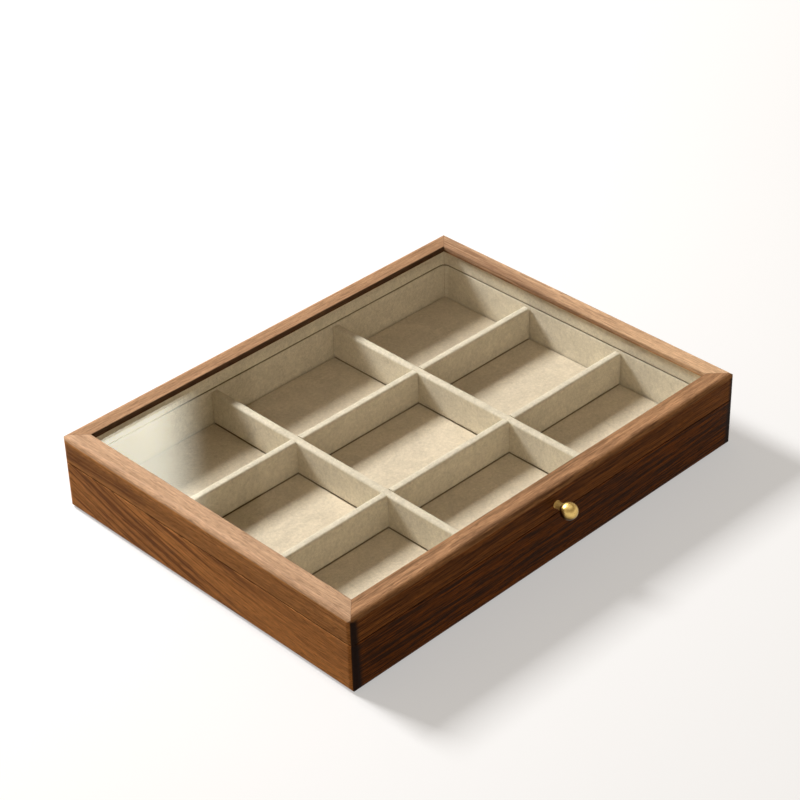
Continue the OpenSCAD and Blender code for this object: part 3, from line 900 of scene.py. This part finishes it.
# %% Tree: wrapped_divider, the bar
STATION_STEP = 4.0 * MM
SECTION_STEP = 0.7 * MM
divider, given = new_group("wrapped_divider", {
    "Points": "Geometry", "Length": 280 * MM, "Thickness": DIVIDER_T, "Height": 21 * MM,
    "Edge Radius": 1.2 * MM, "Slot Spacing": 90 * MM, "Slot Width": 5.1 * MM, "Slot Height": 10.5 * MM,
    "Slot Middle": 16 * MM, "Stir": 0.1 * MM, "Seed": 0.0, "Turn": 0.0, "Place": (0, 0, 0),
    "Material": "Material",
}, {"Mesh": "Geometry"}, "GeometryNodeTree")

left, right = divider.point(given["Length"] / -2.0), divider.point(given["Length"] / 2.0)
line = divider.shape("CurvePrimitiveLine", Start=left, End=right)
path = divider.shape("ResampleCurve", mode="LENGTH", Curve=line, Length=STATION_STEP)
sharp_section = divider.shape(
    "CurvePrimitiveQuadrilateral", mode="RECTANGLE", Width=given["Thickness"], Height=given["Height"])
soft_section = divider.shape(
    "FilletCurve", mode="POLY", Curve=sharp_section, Radius=given["Edge Radius"], Count=5)
section = divider.shape("ResampleCurve", mode="LENGTH", Curve=soft_section, Length=SECTION_STEP)
bar = divider.shape("CurveToMesh", Curve=path, Profile_Curve=section, Fill_Caps=True)
print("the bar takes", len(divider.data.nodes), "nodes")

# %% Tree: wrapped_divider, the cloth and the slots
STIR_PER_METRE = 60.0

seeded = divider.point(given["Seed"], given["Seed"])
stirred_at = divider.shape("InputPosition").scaled(STIR_PER_METRE).vector("ADD", seeded)
cloth_noise = divider.put("ShaderNodeTexNoise", out="Fac", Vector=stirred_at, Scale=1.0, Detail=3.0)
outward = divider.shape("InputNormal").scaled((cloth_noise - 0.5) * given["Stir"])
stirred = divider.shape("SetPosition", Geometry=bar, Offset=outward)
standing = divider.shape("Transform", Geometry=stirred, Translation=divider.point(z=given["Height"] / 2.0))

slot_line = divider.shape(
    "MeshLine", mode="END_POINTS", Count=2,
    Start_Location=divider.point(given["Slot Spacing"] / -2.0, z=given["Slot Middle"]),
    Offset=divider.point(given["Slot Spacing"] / 2.0, z=given["Slot Middle"]))
slot_block = divider.shape("MeshCube", Size=divider.point(
    given["Slot Width"], given["Thickness"] * 3.0, given["Slot Height"]))
slots = divider.shape("InstanceOnPoints", Points=slot_line, Instance=slot_block)
real_slots = divider.shape("RealizeInstances", Geometry=slots)
cut = divider.shape("MeshBoolean", operation="DIFFERENCE", Mesh_1=standing, Mesh_2=real_slots)
set_down = divider.shape(
    "Transform", Geometry=cut, Translation=given["Place"], Rotation=divider.point(z=given["Turn"]))
divider.give_mesh(set_down, given["Material"])

# %% [markdown]
# The recipe is run four times. A divider sinks a few tenths of a millimetre into the pad, which is why
# its foot lies a little below the frame's own foot. The tops of all four are level.

# %% Grow the four dividers
SINK = 0.4 * MM
SLOT_PLAY = 0.06 * MM
DIVIDER_STIR = 0.16 * MM
DIVIDERS = {"front_long_divider": (0.0, -LONG_Y), "back_long_divider": (0.0, LONG_Y),
            "left_cross_divider": (-CROSS_X, 0.0), "right_cross_divider": (CROSS_X, 0.0)}
height = LONG_HIGH.z - LONG_LOW.z + SINK
for number, (node, place) in enumerate(DIVIDERS.items()):
    is_long = "long" in node
    reach, crossed_at, turn = (LONG_HIGH.x, CROSS_X, 0.0) if is_long else (CROSS_HIGH.y, LONG_Y, QUARTER_TURN)
    mesh = grow(node + "_cloth", divider, {
        "Length": reach * 2, "Height": height, "Slot Spacing": crossed_at * 2,
        "Slot Width": DIVIDER_T + SLOT_PLAY, "Slot Height": height, "Slot Middle": height if is_long else 0.0,
        "Stir": DIVIDER_STIR, "Seed": 5.0 * number, "Turn": turn, "Place": (*place, LONG_LOW.z - SINK),
        "Material": LINING_SUEDE})
    adopt(node + "_cloth", mesh, LINING_SUEDE, "box", [node])
    print(node, len(mesh.polygons), "faces")

# %% [markdown]
# ## Screws
#
# Nine screws hold the metalwork: four in the box, four in the lid and one that carries the knob. A screw
# is a head with a slot, a shank and a helix of thread. The recipe makes one, puts a copy on every point
# that it is given and turns each by its own amount, because nobody lines up the slots. It asks for the
# head's width above and below, since a countersunk head narrows and that of the knob's screw doesn't.

# %% Tree: slotted_screws, the head
screw, given = new_group("slotted_screws", {
    "Points": "Geometry", "Head Diameter": 3.6 * MM, "Under Head": 1.8 * MM, "Head Depth": 0.9 * MM,
    "Shank Diameter": 1.8 * MM, "Length": 8.0 * MM, "Pitch": 0.7 * MM, "Slot Width": 0.5 * MM,
    "Slot Depth": 0.4 * MM, "Aim": (0, 0, 0), "Seed": 0, "Material": "Material",
}, {"Mesh": "Geometry"}, "GeometryNodeTree")


def moved_down(geometry, amount):
    """The shape, moved down from the point on which the screw is set."""
    return screw.shape("Transform", Geometry=geometry, Translation=screw.point(z=amount * -1.0))


head_cone = screw.shape("MeshCone", Vertices=40, Radius_Top=given["Head Diameter"] / 2.0,
                        Radius_Bottom=given["Under Head"] / 2.0, Depth=given["Head Depth"])
blade = screw.shape("MeshCube", Size=screw.point(
    given["Head Diameter"] * 2.0, given["Slot Width"], given["Slot Depth"] * 2.0))
head = screw.shape("MeshBoolean", operation="DIFFERENCE", Mesh_2=blade,
                   Mesh_1=moved_down(head_cone, given["Head Depth"]))
print("the head takes", len(screw.data.nodes), "nodes")

# %% Tree: slotted_screws, the shank
CORE_SHARE = 0.4
TIP_SHARE = 0.8
THREAD_SHARE = 0.1

core_radius = given["Shank Diameter"] * CORE_SHARE
tip_length = given["Shank Diameter"] * TIP_SHARE
core_length = given["Length"] - (given["Head Depth"] + tip_length)
core = screw.shape("MeshCylinder", Vertices=20, Radius=core_radius, Depth=core_length)
tip = screw.shape("MeshCone", Vertices=20, Radius_Top=core_radius, Radius_Bottom=0.0, Depth=tip_length)
thread_line = screw.shape("CurveSpiral", Resolution=14, Rotations=core_length / given["Pitch"],
                          Start_Radius=core_radius, End_Radius=core_radius, Height=core_length)
thread_section = screw.shape(
    "CurvePrimitiveCircle", Resolution=4, Radius=given["Shank Diameter"] * THREAD_SHARE)
thread = screw.shape("CurveToMesh", Curve=thread_line, Profile_Curve=thread_section, Fill_Caps=True)
print("head and shank take", len(screw.data.nodes), "nodes")

# %% Tree: slotted_screws, a copy on each point
# A Random Value node takes its largest number at input 3 and gives the number at output 1.
RANDOM_MAXIMUM, RANDOM_NUMBER = 3, 1

whole = screw.add("GeometryNodeJoinGeometry")
for part in (head, moved_down(core, given["Head Depth"] + core_length / 2.0),
             moved_down(tip, given["Length"]), moved_down(thread, given["Length"] - tip_length)):
    screw.feed(whole.inputs[0], part)
scattered = screw.shape("InstanceOnPoints", Points=given["Points"], Rotation=given["Aim"],
                        Instance=Value(screw, whole.outputs[0]))
spin = screw.put("FunctionNodeRandomValue", {"Seed": given["Seed"], RANDOM_MAXIMUM: math.pi}, RANDOM_NUMBER,
                 data_type="FLOAT")
turned_about = screw.shape("RotateInstances", Instances=scattered, Rotation=screw.point(z=spin),
                           Local_Space=True)
screw.give_mesh(turned_about, given["Material"])

# %% Grow the screws
SCREW_SPACING = 18.0 * MM
leaf_low, leaf_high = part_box("right_hinge_box_leaf")
hinge_x = (leaf_low.x + leaf_high.x) / 2
for node, body, heads_up, seed in (("box_leaf_screws", "box", True, 3), ("lid_leaf_screws", "lid", False, 8)):
    low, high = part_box(node)
    head_z = high.z if heads_up else low.z
    spots = [(side * hinge_x + end * SCREW_SPACING / 2, (low.y + high.y) / 2, head_z)
             for side in (-1, 1) for end in (-1, 1)]
    aim = (0.0, 0.0, 0.0) if heads_up else (math.pi, 0.0, 0.0)
    mesh = grow(node + "_brass", screw, {
        "Head Diameter": high.y - low.y, "Length": high.z - low.z, "Aim": aim, "Seed": seed,
        "Material": BRASS}, spots)
    adopt(node + "_brass", mesh, BRASS, body, [node], crease=35)
    print(node, len(mesh.polygons), "faces")

low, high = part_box("knob_screw")
mesh = grow("knob_screw_steel", screw, {
    "Head Diameter": high.x - low.x, "Under Head": high.x - low.x, "Head Depth": 1.8 * MM,
    "Shank Diameter": 3.0 * MM, "Length": high.y - low.y, "Pitch": 0.5 * MM, "Slot Width": 0.7 * MM,
    "Slot Depth": 0.7 * MM, "Aim": (-QUARTER_TURN, 0.0, 0.0), "Seed": 1, "Material": STEEL},
    [(0.0, high.y, (low.z + high.z) / 2)])
adopt("knob_screw_steel", mesh, STEEL, "lid", ["knob_screw"], crease=35)
print("knob_screw", len(mesh.polygons), "faces")

# %% [markdown]
# ## The ball knob
#
# The knob is turned on a lathe: a small foot against the wood, a neck and a ball. A lathe makes rings, so
# the knob is a skin over rings whose radius follows the profile. The ball is an arc, and the neck is a
# cove that joins foot and ball without a step. The brass is duller in the neck, where a cloth doesn't
# reach, and the ball's underside is painted dark brown, as shade and a dark reflection there.

# %% The knob's profile
low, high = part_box("knob")
BALL_R = (high.x - low.x) / 2
BALL_Y = low.y + BALL_R
KNOB_Z = (low.z + high.z) / 2
FOOT_BACK_R = 2.3 * MM
FOOT_R = 2.4 * MM
FOOT_SIDE = 0.315 * MM
FOOT_ROUNDING = 0.3 * MM
FOOT_DRAWN_IN = 0.2 * MM
COVE_FOOT_R = 2.18 * MM
COVE_BALL_R = 2.279 * MM
COVE_DIP = 0.12 * MM
TIP_RING_R = 0.01 * MM
FOOT_STEPS, COVE_STEPS, BALL_STEPS = 6, 16, 36


def knob_profile():
    """(radius, distance from the wood) from the foot to the tip of the ball."""
    reach = high.y - BALL_Y
    points = [(FOOT_BACK_R, 0.0)]
    for step in range(FOOT_STEPS + 1):
        angle = QUARTER_TURN * step / FOOT_STEPS
        points.append((FOOT_R - FOOT_DRAWN_IN * (1 - math.cos(angle)),
                       FOOT_SIDE + FOOT_ROUNDING * math.sin(angle)))
    ball_from = math.asin(COVE_BALL_R / BALL_R)
    cove_from = FOOT_SIDE + FOOT_ROUNDING
    cove_length = reach - BALL_R * math.cos(ball_from) - cove_from
    for step in range(1, COVE_STEPS):
        share = step / COVE_STEPS
        dip = math.sin(math.pi * share) * COVE_DIP
        radius = COVE_FOOT_R + (COVE_BALL_R - COVE_FOOT_R) * share - dip
        points.append((radius, cove_from + cove_length * share))
    for step in range(BALL_STEPS + 1):
        angle = ball_from + (math.pi - ball_from) * step / BALL_STEPS
        points.append((max(BALL_R * math.sin(angle), TIP_RING_R), reach - BALL_R * math.cos(angle)))
    return points


print("ball of", round(BALL_R * 2 / MM, 1), "mm,", len(knob_profile()), "points in the profile")

# %% Turn the knob
TOWARDS_UNDERSIDE = (0.0, 0.5, -0.86)
AROUND = 72


def knob_brass():
    """Brass that is duller in the neck, with painted shade on the ball's underside."""
    finish = metal("knob_brass", (228, 190, 112), (232, 198, 122), (150, 112, 52))
    _, y, _ = finish.spot.split()
    in_neck = y.spread(BALL_Y + 0.85 * BALL_R, BALL_Y + 0.98 * BALL_R)
    finish.tree.feed(finish.shader["Roughness"], most(finish.figure["Roughness"], in_neck * 0.62))
    from_middle = finish.spot.vector("SUBTRACT", (0.0, BALL_Y, KNOB_Z))
    underneath = from_middle.vector("DOT_PRODUCT", TOWARDS_UNDERSIDE)
    # Painted shade and a painted dark reflection on the ball's underside.
    underside_shade = underneath.spread(-0.34 * BALL_R, 0.06 * BALL_R, 0.0, 0.92)
    shade(finish, underside_shade - underside_shade * in_neck, paint(72, 46, 20))
    return finish.material


ANGLES = [2 * math.pi * k / AROUND for k in range(AROUND)]
rings = [[Vector((radius * math.cos(angle), high.y - out, KNOB_Z + radius * math.sin(angle)))
          for angle in ANGLES] for radius, out in knob_profile()]
adopt("ball_knob", skin("ball_knob", rings), knob_brass(), "lid", ["knob"], crease=60)
print("knob:", len(rings), "rings")

# %% [markdown]
# ## Hinges
#
# The frame's leaves, knuckles and pins are exact but have edges like razors. Stamped and rolled brass has
# small rounded edges that catch a line of light. So we copy each mesh, merge its loose triangles into
# one surface, melt the flat ones together and bevel every sharp edge by a tenth of a millimetre.

# %% Ease the edges of the hinges
HINGE_WELD = 0.005 * MM
EASING = 0.1 * MM
FLAT = math.radians(1)
SHARP = math.radians(40)


def eased_copy(node):
    """A copy of a mesh of the frame whose sharp edges are a little rounded."""
    work = bmesh.new()
    work.from_mesh(NODES[node].data)
    bmesh.ops.remove_doubles(work, verts=work.verts, dist=HINGE_WELD)
    bmesh.ops.dissolve_limit(work, angle_limit=FLAT, verts=work.verts, edges=work.edges)
    sharp = [edge for edge in work.edges if len(edge.link_faces) == 2 and edge.calc_face_angle() > SHARP]
    bmesh.ops.bevel(work, geom=sharp, offset=EASING, segments=2, profile=0.6, affect="EDGES",
                    clamp_overlap=True)
    mesh = bpy.data.meshes.new(node + "_eased")
    work.to_mesh(mesh)
    work.free()
    return mesh


for side in ("left", "right"):
    for part, body in (("box_leaf", "box"), ("lid_leaf", "lid"), ("pin", "box")):
        node = side + "_hinge_" + part
        mesh = eased_copy(node)
        adopt(node + "_brass", mesh, BRASS, body, [node], crease=40)
        print(node, len(mesh.polygons), "faces")

# %% [markdown]
# ## Floor and light
#
# The box stands on a plain pale floor. One wide lamp shines from behind and a little from the left, so
# the front lies in shade and the dividers throw soft shadows. A pale floor would throw so much light back
# at the walls that their shade is lost, so it sends less light to the box than it shows to the camera.
# Far from the box it glows a little more, so that it ends in white.

# %% Floor
FLOOR_HALF = 4.0
FLOOR_DROP = 0.3 * MM
FLOOR_SHOWN = (0.47, 0.47, 0.48, 1)
FLOOR_SENT = (0.2, 0.145, 0.085, 1)
WHITE = (1.0, 1.0, 1.0, 1)
GLOW_FROM, GLOW_TO = 0.4, 2.2
GLOW_NEAR, GLOW_FAR = 0.44, 0.95
ROUND_A_SQUARE = ((-1, -1), (1, -1), (1, 1), (-1, 1))


def bare_material(name):
    """A material without the usual shader, for a sheet that needs only a plain one."""
    material, tree, unused = blank_material(name)
    tree.data.nodes.remove(unused)
    return material, tree


def pale_floor():
    """A floor that shows more light to the camera than it sends to the box."""
    material, tree = bare_material("pale_floor")
    away = tree.put("ShaderNodeTexCoord", out="Object").vector("LENGTH")
    glow = away.spread(GLOW_FROM, GLOW_TO, GLOW_NEAR, GLOW_FAR)
    lit = tree.put("ShaderNodeBsdfDiffuse", Color=FLOOR_SHOWN)
    glowing = tree.put("ShaderNodeEmission", Color=WHITE, Strength=glow)
    shown = tree.put("ShaderNodeAddShader", {0: lit, 1: glowing})
    sent = tree.put("ShaderNodeBsdfDiffuse", Color=FLOOR_SENT)
    seen = tree.rays("Camera", "Glossy", "Transmission")
    tree.show(tree.put("ShaderNodeMixShader", {0: seen, 1: sent, 2: shown}))
    return material


def stage_sheet(name, corners, material):
    """A flat sheet that belongs to the stage and not to the box."""
    mesh = bpy.data.meshes.new(name)
    mesh.from_pydata(corners, [], [(0, 1, 2, 3)])
    mesh.materials.append(material)
    sheet = new_object(name, mesh)
    return sheet


corners = [(x * FLOOR_HALF, y * FLOOR_HALF, -FLOOR_DROP) for x, y in ROUND_A_SQUARE]
stage_sheet("studio_floor", corners, pale_floor())
print("floor", FLOOR_HALF * 2, "m across")

# %% Lamp
KEY_DIRECTION = Vector((-0.22, 1.0, 0.92)).normalized()
KEY_DISTANCE = 1.7
KEY_SIZE = 0.42
KEY_WATTS = 46.0

light = bpy.data.lights.new("window_lamp", "AREA")
light.shape = "SQUARE"
light.size = KEY_SIZE
light.energy = KEY_WATTS
light.color = (1.0, 0.995, 0.975)
window_lamp = new_object("window_lamp", light)
window_lamp.location = KEY_DIRECTION * KEY_DISTANCE
window_lamp.rotation_euler = (-KEY_DIRECTION).to_track_quat("-Z", "Y").to_euler()
print("lamp of", KEY_WATTS, "W,", KEY_DISTANCE, "m away")

# %% [markdown]
# The world is dim and warm to the box, white to the camera, and white where glass and brass mirror it
# near the horizon or straight overhead. In between it is dim, or else the pane would be milky all over.

# %% World
SKY_LOW = (0.3, 0.225, 0.145, 1)
SKY_HIGH = (0.268, 0.21, 0.14, 1)

world = bpy.data.worlds.new("studio")
bpy.context.scene.world = world
world.use_nodes = True
sky = Tree(world.node_tree)
_, _, upwards = sky.put("ShaderNodeTexCoord", out="Generated").split()
low_or_overhead = most(upwards.spread(0.5, 0.25), upwards.spread(0.72, 0.9))
white = most(sky.rays("Camera"), sky.rays("Glossy", "Transmission") * low_or_overhead)
dim = upwards.spread(0.0, 0.7).mix(SKY_LOW, SKY_HIGH)
sky.feed(sky.data.nodes["Background"].inputs["Color"], white.mix(dim, WHITE))
print("a plain world of", len(sky.data.nodes), "nodes")

# %% [markdown]
# A tall bright card stands far behind the box, where the far left corner of the glass mirrors it to the
# camera. Only the reflection tells the eye that there is glass at all. One side of the card fades out, so
# that its reflection has no hard end, and only mirrored rays see it.

# %% Card for the reflection
CARD_PLACE = Vector((0.93, 1.42, 1.25))
CARD_RIGHT = Vector((0.722, -0.692, 0.0))
CARD_LEFT_REACH = 0.45
CARD_RIGHT_REACH = 0.1
CARD_HALF_HEIGHT = 0.65
CARD_STRENGTH = 4.9
CARD_COLOUR = (0.985, 0.98, 0.84, 1)
FADE_OUT, FADE_IN = 0.035, -0.055


def card_light():
    """Light of the card, which fades out on one side."""
    material, tree = bare_material("card_light")
    along = tree.put("ShaderNodeTexCoord", out="Object").vector("DOT_PRODUCT", tuple(CARD_RIGHT))
    fade = (along - CARD_PLACE.dot(CARD_RIGHT)).spread(FADE_OUT, FADE_IN)
    tree.show(tree.put("ShaderNodeEmission", Color=CARD_COLOUR, Strength=fade * CARD_STRENGTH))
    return material


corners = []
for x, y in ROUND_A_SQUARE:
    reach = CARD_RIGHT_REACH if x > 0 else -CARD_LEFT_REACH
    corners.append(CARD_PLACE + CARD_RIGHT * reach + Vector((0, 0, y * CARD_HALF_HEIGHT)))
card = stage_sheet("reflection_card", corners, card_light())
card.visible_camera = False
card.visible_diffuse = False
card.visible_shadow = False
print(card.name, "stands", round(CARD_PLACE.length, 2), "m away")

# %% [markdown]
# ## Camera
#
# The camera repeats the photographer's: about 1.3 m away, 34 degrees above the floor and 44 degrees round
# to the left of the front. A long lens keeps the sides almost parallel. From the point that it aims at,
# the camera is turned, tipped, moved back and at last rolled by 1.7 degrees, because the picture was held
# a little aslant.

# %% Camera
CAMERA_AZIMUTH = math.radians(-43.76)
CAMERA_ELEVATION = math.radians(34.30)
CAMERA_ROLL = math.radians(-1.70)
CAMERA_DISTANCE = 1.3318
CAMERA_AIM = Vector((0.0257, 0.0289, 0.024))
LENS_IN_MM = 104.16
SENSOR_IN_MM = 36.0

camera_data = bpy.data.cameras.new("camera")
camera_data.lens = LENS_IN_MM
camera_data.sensor_width = SENSOR_IN_MM
camera = new_object("camera", camera_data)
turned = Matrix.Rotation(CAMERA_AZIMUTH, 4, "Z")
tipped = Matrix.Rotation(QUARTER_TURN - CAMERA_ELEVATION, 4, "X")
rolled = Matrix.Rotation(CAMERA_ROLL, 4, "Z")
moved_back = Matrix.Translation((0, 0, CAMERA_DISTANCE))
camera.matrix_world = Matrix.Translation(CAMERA_AIM) @ turned @ tipped @ moved_back @ rolled
bpy.context.scene.camera = camera
bpy.context.scene.view_settings.view_transform = "Standard"
print("camera at", [round(value, 3) for value in camera.location])
